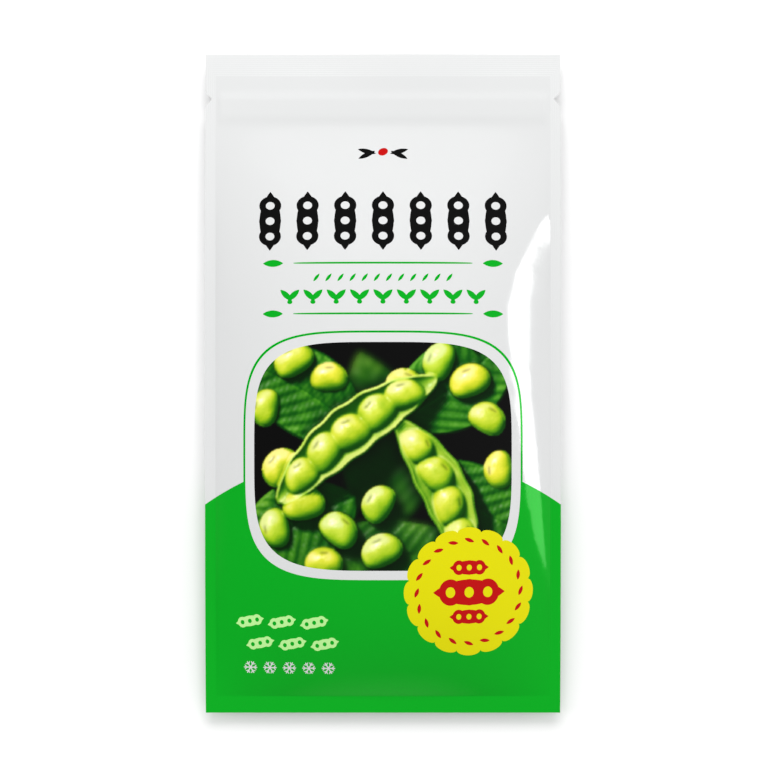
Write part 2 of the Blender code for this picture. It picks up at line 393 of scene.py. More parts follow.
def lay_leaf(field, x, y, hue, px, py, heading, length, girth, level):
    """A leaflet: pinnate veins that lean forward, and the blade quilted between them."""
    u, v = seen_from(x, y, (px, py), heading)
    v = v - 6 * (2 * u / length) ** 2
    share = np.clip(u / length + 0.5, 0, 1)
    half = girth / 2 * np.sin(np.pi * share**0.8) ** 0.75
    side = v / np.maximum(half, 1e-3)
    away = np.abs(v)
    rows = (u - 0.75 * away - 0.012 * v**2) / 8.5
    rib = np.exp(-((v / (1.1 - share)) ** 2))
    vein = np.exp(-(((np.mod(rows, 1) - 0.5) / 0.06) ** 2)) * np.clip(1.15 - side**2, 0, 1)
    quilt = 0.34 * np.cos(2 * np.pi * rows) + 0.16 * np.sin(away * 1.3 + rows * 9) * np.sin(u * 1.1)
    z = level + 3 * (1 - side**2) - 0.8 * rib + quilt + 7 * away / girth
    inside = (np.abs(side) < 1) & (share > 0) & (share < 1)
    lay(field, inside, z, LEAF, np.maximum(rib, 0.45 * vein), hue)


def lay_bean(field, u, v, size, level, hue):
    """A bean: a plump oval with a flatter side, where the scar of its stalk shows."""
    bowed = v + size * 0.10 * (u / size) ** 2
    rest = 1 - np.abs(u / (size * 1.30)) ** 2.15 - np.abs(bowed / size) ** 2.15
    z = level + size * 0.80 * np.clip(rest, 0, 1) ** 0.55
    scar = np.exp(-((u / (size * 0.30)) ** 4) - ((v - size * 0.63) / (size * 0.08)) ** 2)
    lay(field, rest > 0, z - 0.5 * scar, BEAN, scar, hue)


def lay_open_pod(field, x, y, hue, px, py, heading, length, girth, level, beans):
    """Half of a pod's shell, thick at its rim, with the beans sitting in a row in it."""
    u, v = seen_from(x, y, (px, py), heading)
    v = v + 7 * (2 * u / length) ** 2 - 3.5
    share = np.clip(u / length + 0.5, 0, 1)
    pitch = length * 0.80 / beans
    swell = 1 + 0.035 * np.cos(2 * np.pi * (u / pitch - (beans - 1) / 2))
    half = girth / 2 * np.sin(np.pi * share) ** 0.55 * swell
    side = np.abs(v) / np.maximum(half, 1e-3)
    inside = (side < 1) & (share > 0) & (share < 1)
    rim = np.clip((side - 0.86) / 0.06, 0, 1)
    lay(field, inside, level + half * (0.62 * side**2.2 - 0.1) + 0.8 * rim, SHELL, rim, hue)
    for number in range(beans):
        along = (number - (beans - 1) / 2) * pitch
        size = girth * 0.335 * (1 - 0.24 * (2 * along / length) ** 2)
        lean = math.radians(14 * (-1) ** number)
        du, dv = u - along, v - 0.6 * math.sin(number * 2.1)
        turned = (du * math.cos(lean) - dv * math.sin(lean), du * math.sin(lean) + dv * math.cos(lean))
        lay_bean(field, turned[0] * 1.06, turned[1], size, level + 2.0, hue + 0.25 * math.sin(number * 2.4))


def cast_shadow(height, cell, light):
    """How much of the light reaches each point past the shapes between."""
    flat = math.hypot(light[0], light[1])
    reach = np.ones_like(height)
    for step in range(1, 32):
        distance = step * 1.4
        shift = [-int(round(distance * light[k] / flat / cell)) for k in (0, 1)]
        blocker = np.roll(height, shift, (0, 1)) - distance * light[2] / flat
        clear = (height - blocker) / (0.12 * distance + 0.9)
        reach = np.minimum(reach, np.clip(clear * 0.5 + 0.6, 0, 1))
    return reach


def lay_out(cell):
    """The picture's shapes as heights, kinds, tones and hues, and its points in millimetres."""
    spans = [np.arange(-half, half + cell, cell) for half in PICTURE_HALF]
    x, y = np.meshgrid(*spans, indexing="ij")
    field = {key: np.zeros(x.shape) for key in ("tone", "hue")}
    field.update(height=np.full(x.shape, -30.0), kind=np.zeros(x.shape, int))
    rng = np.random.default_rng(LAYOUT_SEED)
    for leaf in LEAVES:
        lay_leaf(field, x, y, rng.uniform(-1, 1), *leaf)
    for pod in OPEN_PODS:
        lay_open_pod(field, x, y, rng.uniform(0.2, 0.5), *pod)
    for px, py, size, heading, level in LOOSE_BEANS:
        lay_bean(field, *seen_from(x, y, (px, py), heading), size, level, rng.uniform(-1, 1))
    return field


def paint_picture():
    """The picture as linear colours over its box, cell by cell."""
    cell = PICTURE_CELL
    field = lay_out(cell)
    height, kind, tone, hue = (field[key] for key in ("height", "kind", "tone", "hue"))
    tone, hue = tone[..., None], hue[..., None]
    rng = np.random.default_rng(GRAIN_SEED)
    fine, broad = (blur(rng.standard_normal(height.shape), size) for size in (2, 8))
    skin = fine * 0.30 + broad * 2.2
    slopes = [
        np.clip(a, -2, 2) + 0.5 * b
        for a, b in zip(np.gradient(blur(height, 2), cell), np.gradient(skin, cell))
    ]
    normal = np.stack([-slopes[0], -slopes[1], np.ones_like(height)], -1)
    normal /= np.linalg.norm(normal, axis=-1, keepdims=True)
    light = np.array(PICTURE_LIGHT) / math.sqrt(sum(part**2 for part in PICTURE_LIGHT))
    shadow = blur(cast_shadow(height, cell, light), 1)
    lit = np.clip((normal @ light + 0.15) / 1.15, 0, 1)
    crevice = np.clip(1 - (blur(height, 18) - height) / 12, 0.10, 1.2)
    bright = (0.08 + 0.94 * lit * (0.12 + 0.88 * shadow)) * crevice * (1 + 2.2 * broad)
    leaf = blend(bright, LEAF_INKS) * (1 + 0.8 * tone * np.array([1.8, 0.8, 0.6]))
    shell = blend(bright, SHELL_INKS) * (1 + 0.25 * tone)
    bean = blend(bright, BEAN_INKS) * (1 - 0.55 * tone)
    kinds = kind[..., None]
    ink = np.where(kinds == LEAF, leaf, np.where(kinds == SHELL, shell, bean))
    ink = ink * (1 - hue * np.array([0.16, 0.02, -0.10]))
    ink = np.where(kinds == BARE, 0.002, ink)
    half_way = light + np.array([0, 0, 1.0])
    facing = np.clip(normal @ (half_way / np.linalg.norm(half_way)), 0, 1)
    wet = np.choose(kind, [0, 0.22, 0.6, 1.0]) * shadow
    speckle = np.clip(0.75 + 4.0 * fine, 0.2, 1.4)
    ink = ink + (wet * facing**90 * speckle)[..., None] * np.array([0.55, 0.55, 0.50])
    ink = ink + (wet * facing**12 * speckle)[..., None] * np.array([0.07, 0.08, 0.03])
    near = np.clip((height + 14) / 3, 0, 1)[..., None]
    behind = blur(ink * (1 - near), 7) / (blur(1 - near, 7) + 0.02)
    ink = blur(ink * near, 1) + behind * (1 - blur(near, 1))
    return np.clip(ink * (0.35 + 0.65 * np.clip((height + 20) / 14, 0, 1))[..., None], 0, 1)


# The pods that fill the pouch between the CAD ones


def pod_length(beans):
    return beans * BEAN_PITCH + 2 * POD_TAPER


def pod_reach(share, beans):
    """A pod's girth at a share of its length, as a part of its greatest girth."""
    taper = np.sin(np.pi * np.clip(share, 0, 1)) ** POD_BLUNTNESS
    along = share * pod_length(beans) - POD_TAPER
    return taper * (1 - POD_PINCH * (1 + np.cos(2 * np.pi * along / BEAN_PITCH)) / 2)


def pod_bow(share):
    return POD_BEND * (1 - (2 * share - 1) ** 2)


def pod_footprint(beans):
    """Points over a pod seen from above, with half of its thickness at each."""
    along = max(2, round(pod_length(beans) / HEAP_CELL))
    across = max(2, round(POD_WIDTH / HEAP_CELL)) + 1
    share, side = np.meshgrid((np.arange(along) + 0.5) / along, np.linspace(-1, 1, across))
    reach = pod_reach(share, beans)
    x = (share - 0.5) * (pod_length(beans) + 2 * HEAP_SLACK)
    y = side * (reach * POD_WIDTH / 2 + HEAP_SLACK) + pod_bow(share)
    half = reach * POD_THICKNESS / 2 * np.sqrt(np.clip(1 - HEAP_ROUNDNESS * side**2, 0, 1)) + HEAP_SLACK
    return x.ravel(), y.ravel(), half.ravel()


def wall_maps():
    """The walls' inner heights over a grid of cells, less the pods' clearance."""
    width, length = 2 * HALF_WIDTH, 2 * HALF_LENGTH
    counts = round(width / HEAP_CELL), round(length / HEAP_CELL)
    cells = [(np.arange(n) + 0.5) * HEAP_CELL - side / 2 for n, side in zip(counts, (width, length))]
    x, y = np.meshgrid(*cells, indexing="ij")
    floor = np.maximum(FILM, back_wall(x, y) - WELD_GAP / 2) + POD_CLEARANCE
    return width, length, floor, front_wall(x, y) + WELD_GAP / 2 - POD_CLEARANCE


def heap_pods():
    """Each pod lies where, of several random tries, it comes to rest lowest."""
    rng = np.random.default_rng(HEAP_SEED)
    footprints = {beans: pod_footprint(beans) for beans in (2, 3)}
    width, length, top, roof = wall_maps()
    placed, misses = [], 0
    while len(placed) < HEAP_LIMIT and misses < HEAP_MISSES:
        beans = 2 if rng.random() < TWO_BEAN_SHARE else 3
        x = rng.uniform(-width / 2, width / 2, HEAP_TRIES)
        y = rng.uniform(BODY_BOTTOM, BODY_TOP, HEAP_TRIES)
        turn = rng.uniform(0, 2 * np.pi, HEAP_TRIES)
        fx, fy, half = footprints[beans]
        px = x[:, None] + fx * np.cos(turn)[:, None] - fy * np.sin(turn)[:, None]
        py = y[:, None] + fx * np.sin(turn)[:, None] + fy * np.cos(turn)[:, None]
        i = np.clip(((px + width / 2) / HEAP_CELL).astype(int), 0, top.shape[0] - 1)
        j = np.clip(((py + length / 2) / HEAP_CELL).astype(int), 0, top.shape[1] - 1)
        z = np.round((top[i, j] + half).max(axis=1), 6)
        z[(z[:, None] + half > roof[i, j]).any(axis=1)] = np.inf
        best = int(np.argmin(z))
        if np.isinf(z[best]):
            misses += 1
            continue
        misses = 0
        np.maximum.at(top, (i[best], j[best]), z[best] + half)
        placed.append((x[best], y[best], z[best], turn[best], beans))
    return placed


def shape_pod(beans):
    """A ball primitive drawn out along X, pinched between the beans and bent a little."""
    bpy.ops.object.select_all(action="DESELECT")
    bpy.ops.mesh.primitive_uv_sphere_add(segments=POD_SIDES, ring_count=POD_RINGS, radius=1)
    pod = bpy.context.object
    points = read_points(pod.data)
    share = 1 - np.arccos(np.clip(points[:, 2], -1, 1)) / np.pi
    ring = points[:, :2] / np.maximum(np.linalg.norm(points[:, :2], axis=1), 1e-6)[:, None]
    ring[np.abs(points[:, 2]) > 0.9999] = 0
    reach = pod_reach(share, beans)
    x = (share - 0.5) * pod_length(beans)
    y = ring[:, 0] * reach * POD_WIDTH / 2 + pod_bow(share)
    z = ring[:, 1] * reach * POD_THICKNESS / 2
    pod.data.vertices.foreach_set("co", np.column_stack([x, y, z]).ravel())
    pod.data.shade_smooth()
    return pod


def fill_pouch(name, material):
    """The heap's other pods as one piece, each a copy of one of two shapes."""
    boxes = [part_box(node_name) for node_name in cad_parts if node_name.startswith("pod_")]
    own = np.array([np.add(low, high) / 2 for low, high in boxes])
    shapes = {beans: shape_pod(beans) for beans in (2, 3)}
    pods = []
    for x, y, z, turn, beans in heap_pods():
        if np.linalg.norm(own - (x, y, z), axis=1).min() < SAME_POD:
            continue
        pod = bpy.data.objects.new(name, shapes[beans].data.copy())
        pod.data.transform(Matrix.Translation((x, y, z)) @ Matrix.Rotation(turn, 4, "Z"))
        bpy.context.scene.collection.objects.link(pod)
        pods.append(pod)
    for shape in shapes.values():
        bpy.data.objects.remove(shape, do_unlink=True)
    bpy.ops.object.select_all(action="DESELECT")
    for pod in pods:
        pod.select_set(True)
    bpy.context.view_layer.objects.active = pods[0]
    bpy.ops.object.join()
    heap = bpy.context.object
    heap.name = heap.data.name = name
    heap.data.materials.append(material)
    return heap


# Printed motifs: each returns 1 inside the shape and 0 outside, on a sheet in millimetres

# A pitch past the sheet's end, for a motif that doesn't repeat that way
ALONE = 1e3


def quarter(tree, sheet, place, half, turn=0.0):
    """The sheet seen from a motif's middle, in units of its half size, folded into one quarter."""
    inputs = {"Vector": sheet, "Location": (*place, 0), "Rotation": (0, 0, turn), "Scale": (*half, 1)}
    seen = node(tree, "ShaderNodeMapping", inputs, vector_type="TEXTURE").outputs[0]
    return node(tree, "ShaderNodeVectorMath", {0: seen}, operation="ABSOLUTE").outputs[0]


def oval(tree, sheet, place, half, turn=0.0):
    spot = quarter(tree, sheet, place, half, turn)
    away = node(tree, "ShaderNodeVectorMath", {0: spot}, operation="LENGTH").outputs["Value"]
    return node(tree, "ShaderNodeMath", {0: away, 1: 1.0}, operation="LESS_THAN").outputs[0]


def panel(tree, sheet, place, half, turn=0.0):
    """A bar or a window with round corners, from the sum of fourth powers."""
    spot = quarter(tree, sheet, place, half, turn)
    square = node(tree, "ShaderNodeVectorMath", {0: spot, 1: spot}, operation="MULTIPLY").outputs[0]
    fourth = node(tree, "ShaderNodeVectorMath", {0: square, 1: square}, operation="DOT_PRODUCT")
    inputs = {0: fourth.outputs["Value"], 1: 1.0}
    return node(tree, "ShaderNodeMath", inputs, operation="LESS_THAN").outputs[0]


def pointed(tree, sheet, place, reach, girth, turn=0.0):
    """A leaf or pod outline: where two equal circles overlap, with its points along X."""
    offset = (1 - girth**2) / (2 * girth)
    spot = quarter(tree, sheet, place, (reach, reach), turn)
    away = node(tree, "ShaderNodeVectorMath", {0: spot, 1: (0, -offset, 0)}, operation="DISTANCE")
    inputs = {0: away.outputs["Value"], 1: girth + offset}
    return node(tree, "ShaderNodeMath", inputs, operation="LESS_THAN").outputs[0]


def rows_of(tree, sheet, first, pitch, counts):
    """The sheet folded so that a motif drawn at its origin repeats in rows."""
    pitch = (*pitch, 1)
    last = (counts[0] - 1, counts[1] - 1, 0)
    shifted = node(tree, "ShaderNodeVectorMath", {0: sheet, 1: (*first, 0)}, operation="SUBTRACT").outputs[0]
    steps = node(tree, "ShaderNodeVectorMath", {0: shifted, 1: pitch}, operation="DIVIDE").outputs[0]
    near = node(tree, "ShaderNodeVectorMath", {0: steps, 1: (0.5, 0.5, 0.5)}, operation="ADD").outputs[0]
    whole = node(tree, "ShaderNodeVectorMath", {0: near}, operation="FLOOR").outputs[0]
    capped = node(tree, "ShaderNodeVectorMath", {0: whole, 1: last}, operation="MINIMUM").outputs[0]
    kept = node(tree, "ShaderNodeVectorMath", {0: capped, 1: (0, 0, 0)}, operation="MAXIMUM").outputs[0]
    back = node(tree, "ShaderNodeVectorMath", {0: kept, 1: pitch}, operation="MULTIPLY").outputs[0]
    return node(tree, "ShaderNodeVectorMath", {0: shifted, 1: back}, operation="SUBTRACT").outputs[0]


def ring_of(tree, sheet, place, count):
    """The sheet folded round a place so that a motif drawn on +X repeats in a ring."""
    spot = node(tree, "ShaderNodeVectorMath", {0: sheet, 1: (*place, 0)}, operation="SUBTRACT").outputs[0]
    split = node(tree, "ShaderNodeSeparateXYZ", {0: spot})
    inputs = {0: split.outputs["Y"], 1: split.outputs["X"]}
    angle = node(tree, "ShaderNodeMath", inputs, operation="ARCTAN2").outputs[0]
    inputs = {0: angle, 1: math.pi / count, 2: -math.pi / count}
    folded = node(tree, "ShaderNodeMath", inputs, operation="WRAP").outputs[0]
    away = node(tree, "ShaderNodeVectorMath", {0: spot}, operation="LENGTH").outputs["Value"]
    cos = node(tree, "ShaderNodeMath", {0: folded}, operation="COSINE").outputs[0]
    sin = node(tree, "ShaderNodeMath", {0: folded}, operation="SINE").outputs[0]
    turned = node(tree, "ShaderNodeCombineXYZ", {"X": cos, "Y": sin}).outputs[0]
    scaled = {0: turned, "Scale": away}
    return node(tree, "ShaderNodeVectorMath", scaled, operation="SCALE").outputs[0]


def print_over(tree, ground, ink, *masks):
    """Prints an ink, a hex value or a socket, over the ground inside each mask."""
    for mask in masks:
        made = node(tree, "ShaderNodeMix", {0: mask, 6: ground}, data_type="RGBA")
        if isinstance(ink, bpy.types.NodeSocket):
            tree.links.new(ink, made.inputs[7])
        else:
            made.inputs[7].default_value = linear(ink)
        ground = made.outputs[2]
    return ground


def bean_pod(tree, ground, sheet, place, reach, turn, skin, seed):
    """A flat pod: a pointed outline, three swellings, and a seed left open in each."""
    inputs = {"Vector": sheet, "Location": (*place, 0), "Rotation": (0, 0, turn)}
    spot = node(tree, "ShaderNodeMapping", inputs, vector_type="TEXTURE").outputs[0]
    beans = rows_of(tree, spot, (-reach * 0.52, 0), (reach * 0.52, ALONE), (3, 1))
    outline = pointed(tree, spot, (0, 0), reach, 0.36)
    swelling = oval(tree, beans, (0, 0), (reach * 0.32, reach * 0.37))
    opening = oval(tree, beans, (0, 0), (reach * 0.13, reach * 0.15))
    ground = print_over(tree, ground, skin, outline, swelling)
    return print_over(tree, ground, seed, opening)


WHITE, BLACK, GREEN = "#DBDCDC", "#050505", "#00A91E"
YELLOW, RED, PALE = "#E2DC03", "#BE0A0A", "#BEF59B"
# The middle and half size of what the seals close in, in millimetres
SEALED_MIDDLE = (0, (BOTTOM_SEAL - TOP_SEAL) / 2 * TO_MM, 0)
SEALED_HALF = ((HALF_WIDTH - SIDE_SEAL) * TO_MM, (HALF_LENGTH - (TOP_SEAL + BOTTOM_SEAL) / 2) * TO_MM, 0)


def flat_sheet(tree, mirror=1):
    """Object coordinates as a flat sheet in millimetres."""
    coords = node(tree, "ShaderNodeTexCoord")
    inputs = {0: coords.outputs["Object"], 1: (TO_MM * mirror, TO_MM, 0)}
    return node(tree, "ShaderNodeVectorMath", inputs, operation="MULTIPLY").outputs[0]


def title_print(tree, ground, sheet):
    """Seven bold upright pods, and a small black sprig with a red seed over them."""
    upright = rows_of(tree, sheet, (-66, 95), (22, ALONE), (7, 1))
    ground = bean_pod(tree, ground, upright, (0, 0), 17.5, math.pi / 2, BLACK, WHITE)
    for side in (-1, 1):
        for lean in (0.25, -0.45):
            leaf = pointed(tree, sheet, (side * 9.5, 136 + 3 * lean), 5.5, 0.26, side * lean)
            ground = print_over(tree, ground, BLACK, leaf)
    return print_over(tree, ground, RED, oval(tree, sheet, (0, 136.5), (3.0, 2.2), 0.4))


def sprig_print(tree, ground, sheet):
    """Two thin rules with a line of small leaves and a line of larger ones between."""
    rules = rows_of(tree, sheet, (0, 40.5), (ALONE, 29.5), (1, 2))
    ends = rows_of(tree, sheet, (-64, 40.5), (128, 29.5), (2, 2))
    small = rows_of(tree, sheet, (-38.5, 61.5), (7, ALONE), (12, 1))
    large = rows_of(tree, sheet, (-54, 50.5), (13.5, ALONE), (9, 1))
    return print_over(
        tree,
        ground,
        GREEN,
        panel(tree, rules, (0, 0), (52, 0.55)),
        pointed(tree, ends, (0, 0), 6.0, 0.34),
        pointed(tree, small, (0, 0), 2.9, 0.30, 0.9),
        pointed(tree, large, (2.2, 0.8), 4.6, 0.36, 0.75),
        pointed(tree, large, (-2.2, 0.8), 4.6, 0.36, 2.39),
        oval(tree, large, (0, -3.2), (1.5, 1.2)),
    )


def rosette_print(tree, ground, sheet):
    """A scalloped yellow rosette with a ring of red leaves round a fan of red pods."""
    place = (50.0, -121.0)
    disc = oval(tree, sheet, place, (35.5, 35.5))
    scallops = oval(tree, ring_of(tree, sheet, place, 16), (34.6, 0), (3.4, 6.9))
    ground = print_over(tree, ground, YELLOW, disc, scallops)
    leaves = ring_of(tree, sheet, place, 20)
    ground = print_over(tree, ground, RED, pointed(tree, leaves, (30.5, 0), 3.0, 0.36, 1.2))
    for lift, reach in ((14.5, 11.5), (0, 21.0), (-14.5, 11.5)):
        ground = bean_pod(tree, ground, sheet, (place[0], place[1] + lift), reach, 0, RED, YELLOW)
    return ground


def note_print(tree, ground, sheet):
    """Two lines of pale pods and a line of white frost stars, low at the left."""
    for line, first in ((-139.0, -78.0), (-152.0, -72.0)):
        pods = rows_of(tree, sheet, (first, line), (19, ALONE), (3, 1))
        ground = bean_pod(tree, ground, pods, (0, 0), 8.6, 0.22, PALE, GREEN)
    stars = rows_of(tree, sheet, (-78, -167), (11.5, ALONE), (5, 1))
    arms = ring_of(tree, stars, (0, 0), 6)
    ground = print_over(tree, ground, WHITE, panel(tree, arms, (1.9, 0), (2.1, 0.36)))
    for turn, side in ((0.9, 1), (-0.9, -1)):
        twig = panel(tree, arms, (2.75, side * 0.65), (0.95, 0.28), turn)
        ground = print_over(tree, ground, WHITE, twig)
    return ground


def picture_window(tree, ground, sheet):
    """A green line, a white frame, and the picture that the skin's points carry."""
    across, along = PICTURE_HALF
    picture = node(tree, "ShaderNodeAttribute", attribute_name="picture").outputs["Color"]
    for ink, margin in ((GREEN, 6.6), (WHITE, 5.4), (picture, 0.0)):
        window = panel(tree, sheet, PICTURE_PLACE, (across + margin, along + margin))
        ground = print_over(tree, ground, ink, window)
    return ground


def green_field(tree, sheet):
    """White stock with the green field's upper edge as one broad rise across the pouch."""
    white = node(tree, "ShaderNodeRGB")
    white.outputs[0].default_value = linear(WHITE)
    return print_over(tree, white.outputs[0], GREEN, oval(tree, sheet, (0, -238), (190, 200)))


def front_print(tree):
    sheet = flat_sheet(tree)
    ground = green_field(tree, sheet)
    for layer in (title_print, sprig_print, picture_window, rosette_print, note_print):
        ground = layer(tree, ground, sheet)
    return ground


def back_print(tree):
    """The same field, with a framed panel of bare rules below a row of small pods."""
    sheet = flat_sheet(tree, -1)
    ground = green_field(tree, sheet)
    upright = rows_of(tree, sheet, (-66, 118), (22, ALONE), (7, 1))
    ground = bean_pod(tree, ground, upright, (0, 0), 9.5, math.pi / 2, BLACK, WHITE)
    for ink, half in ((GREEN, (82, 108)), (WHITE, (80.5, 106.5))):
        ground = print_over(tree, ground, ink, panel(tree, sheet, (0, -18), half))
    rules = rows_of(tree, sheet, (0, -84), (ALONE, 12), (1, 12))
    return print_over(tree, ground, GREEN, panel(tree, rules, (0, 0), (66, 0.35)))


# Materials, with the sizes of their patterns in millimetres

FILM_HAZE, FILM_WAVER = 20.0, 6.25
SMOOTHEST, HAZIEST, SEAL_ROUGHNESS = 0.07, 0.11, 0.20
RIPE_PATCH, DOWN_TUFT, FROST_PATCH = 16, 0.5, 7


def new_material(name):
    mat = bpy.data.materials.new(name)
    mat.use_nodes = True
    return mat, mat.node_tree, mat.node_tree.nodes["Principled BSDF"]


def printed_film(name, artwork):
    """Reverse-printed gloss PET over pearled white film, drawn from a roll and heat sealed.

    The pearled layer sends some of a highlight back through the ink, so that it glares in
    the ink's own colour under a thin white gloss. The seals are pressed flat by a ribbed
    jaw, which leaves them duller than the body. Their print is also made a little paler:
    painted light, standing in for the brighter light that the flat seals catch beside the curving body.
    """
    mat, tree, shader = new_material(name)
    sheet = flat_sheet(tree)
    spot = node(tree, "ShaderNodeVectorMath", {0: sheet, 1: SEALED_MIDDLE}, operation="SUBTRACT").outputs[0]
    away = node(tree, "ShaderNodeVectorMath", {0: spot}, operation="ABSOLUTE").outputs[0]
    over = node(tree, "ShaderNodeVectorMath", {0: away, 1: SEALED_HALF}, operation="SUBTRACT").outputs[0]
    sides = node(tree, "ShaderNodeSeparateXYZ", {0: over})
    inputs = {0: sides.outputs["X"], 1: sides.outputs["Y"]}
    past = node(tree, "ShaderNodeMath", inputs, operation="MAXIMUM").outputs[0]
    sealed = node(tree, "ShaderNodeMath", {0: past, 1: 0.0}, operation="GREATER_THAN").outputs[0]
    # Painted light: the seals' colour is multiplied paler here, for the brighter light that the flat bands
    # catch
    inputs = {0: sealed, 6: artwork(tree), 7: (SEAL_PAINTED_LIGHT, SEAL_PAINTED_LIGHT, SEAL_PAINTED_LIGHT, 1)}
    tone = node(tree, "ShaderNodeMix", inputs, data_type="RGBA", blend_type="MULTIPLY").outputs[2]
    tree.links.new(tone, shader.inputs["Base Color"])
    inputs = {"Vector": sheet, "Scale": 1 / FILM_HAZE, "Detail": 4.0}
    haze = node(tree, "ShaderNodeTexNoise", inputs).outputs[0]
    inputs = {"Value": haze, "From Min": 0.3, "From Max": 0.7, "To Min": SMOOTHEST, "To Max": HAZIEST}
    gloss = node(tree, "ShaderNodeMapRange", inputs).outputs[0]
    rough = node(tree, "ShaderNodeMix", {0: sealed, 2: gloss, 3: SEAL_ROUGHNESS}).outputs[0]
    tree.links.new(rough, shader.inputs["Roughness"])
    shader.inputs["Metallic"].default_value = 0.16
    shader.inputs["IOR"].default_value = 1.5
    shader.inputs["Specular IOR Level"].default_value = 0.05
    shader.inputs["Coat Weight"].default_value = 0.4
    shader.inputs["Coat Roughness"].default_value = 0.05
    shader.inputs["Coat IOR"].default_value = 1.5
    inputs = {0: past, 1: 2 * math.pi / JAW_RIB_MM}
    turns = node(tree, "ShaderNodeMath", inputs, operation="MULTIPLY").outputs[0]
    ribs = node(tree, "ShaderNodeMath", {0: turns}, operation="SINE").outputs[0]
    pressed = node(tree, "ShaderNodeMath", {0: ribs, 1: sealed}, operation="MULTIPLY").outputs[0]
    inputs = {"Height": pressed, "Strength": 0.25, "Distance": 0.00004}
    jaw = node(tree, "ShaderNodeBump", inputs).outputs[0]
    inputs = {"Vector": sheet, "Scale": 1 / FILM_WAVER, "Detail": 2.0}
    waver = node(tree, "ShaderNodeTexNoise", inputs).outputs[0]
    inputs = {"Height": waver, "Strength": 0.10, "Distance": 0.0002, "Normal": jaw}
    bump = node(tree, "ShaderNodeBump", inputs).outputs[0]
    tree.links.new(bump, shader.inputs["Normal"])
    tree.links.new(bump, shader.inputs["Coat Normal"])
    return mat


def drawn_plastic(name, pale, dull, roughness, line):
    """Unpigmented or white polyethylene: waxy, with faint flow lines where it was drawn.

    line gives the flow lines' spacing along X, Y and Z in millimetres.
    """
    mat, tree, shader = new_material(name)
    coords = node(tree, "ShaderNodeTexCoord").outputs["Object"]
    inputs = {"Vector": coords, "Scale": [TO_MM / gap for gap in line]}
    drawn = node(tree, "ShaderNodeMapping", inputs).outputs[0]
    flow = node(tree, "ShaderNodeTexNoise", {"Vector": drawn, "Scale": 1.0, "Detail": 3.0}).outputs[0]
    inputs = {0: flow, 6: linear(dull), 7: linear(pale)}
    tone = node(tree, "ShaderNodeMix", inputs, data_type="RGBA").outputs[2]
    tree.links.new(tone, shader.inputs["Base Color"])
    inputs = {"Value": flow, "To Min": roughness - 0.06, "To Max": roughness + 0.06}
    tree.links.new(node(tree, "ShaderNodeMapRange", inputs).outputs[0], shader.inputs["Roughness"])
    inputs = {"Height": flow, "Strength": 0.3, "Distance": 0.00004}
    tree.links.new(node(tree, "ShaderNodeBump", inputs).outputs[0], shader.inputs["Normal"])
    shader.inputs["IOR"].default_value = 1.51
    return mat


def pod_skin():
    """Blanched, frozen pod skin: waxy green going yellow, short pale down, frost in patches."""
    mat, tree, shader = new_material("blanched_frozen_pod_skin")
    coords = node(tree, "ShaderNodeTexCoord").outputs["Object"]
    inputs = {"Vector": coords, "Scale": TO_MM / RIPE_PATCH, "Detail": 2.0}
    ripe = node(tree, "ShaderNodeTexNoise", inputs).outputs[0]
    inputs = {0: ripe, 6: linear("#3C7D17"), 7: linear("#93B93A")}
    green = node(tree, "ShaderNodeMix", inputs, data_type="RGBA").outputs[2]
    inputs = {"Vector": coords, "Scale": TO_MM / DOWN_TUFT, "Detail": 3.0}
    down = node(tree, "ShaderNodeTexNoise", inputs).outputs[0]
    inputs = {"Value": down, "From Min": 0.55, "From Max": 0.75, "To Max": 0.30}
    hairs = node(tree, "ShaderNodeMapRange", inputs).outputs[0]
    inputs = {0: hairs, 6: green, 7: linear("#C8D9A0")}
    downy = node(tree, "ShaderNodeMix", inputs, data_type="RGBA").outputs[2]
    inputs = {"Vector": coords, "Scale": TO_MM / FROST_PATCH, "Detail": 6.0}
    frost = node(tree, "ShaderNodeTexNoise", inputs).outputs[0]
    inputs = {"Value": frost, "From Min": 0.52, "From Max": 0.66, "To Max": 0.45}
    rime = node(tree, "ShaderNodeMapRange", inputs).outputs[0]
    inputs = {0: rime, 6: downy, 7: linear("#E6EFE8")}
    tone = node(tree, "ShaderNodeMix", inputs, data_type="RGBA").outputs[2]
    tree.links.new(tone, shader.inputs["Base Color"])
    inputs = {"Value": rime, "To Min": 0.48, "To Max": 0.9}
    tree.links.new(node(tree, "ShaderNodeMapRange", inputs).outputs[0], shader.inputs["Roughness"])
    inputs = {"Height": down, "Strength": 0.5, "Distance": 0.0002}
    tree.links.new(node(tree, "ShaderNodeBump", inputs).outputs[0], shader.inputs["Normal"])
    shader.inputs["IOR"].default_value = 1.45
    shader.inputs["Sheen Weight"].default_value = 0.25
    shader.inputs["Sheen Roughness"].default_value = 0.4
    shader.inputs["Sheen Tint"].default_value = linear("#D5E4B8")
    return mat


# Stage

FLOOR_SIZE, FLOOR_DROP, FLOOR_WHITE = 6, 0.0002, 0.905
# name, place, target, width and length, watts, seen in gloss, shape, turn
LAMPS = [
    ("key_softbox", (0, 1.15, 1.25), (0, 0, 0), (1.2, 0.7), 16.0, False, "RECTANGLE", 0.0),
    ("left_fill", (-1.25, 0.1, 0.95), (-0.05, 0, 0.02), (0.9, 1.2), 4.8, False, "RECTANGLE", 0.0),
    ("low_fill", (0, -1.3, 0.50), (0, 0, 0.02), (1.2, 0.5), 0.8, False, "RECTANGLE", 0.0),
    ("right_strip", (1.18, 0.03, 0.53), (0.08, 0, 0.02), (0.78, 0.18), 0.95, True, "ELLIPSE", 0.70),
]
ROOM_LEFT, ROOM_RIGHT = 0.56, 0.96
GLOSS_OVERHEAD, GLOSS_SIDEWAYS = 0.4, 0.8
CAMERA_PLACE = (0.0006, -0.0002, 1.2737)
LENS_MM, SENSOR_MM = 100, 36


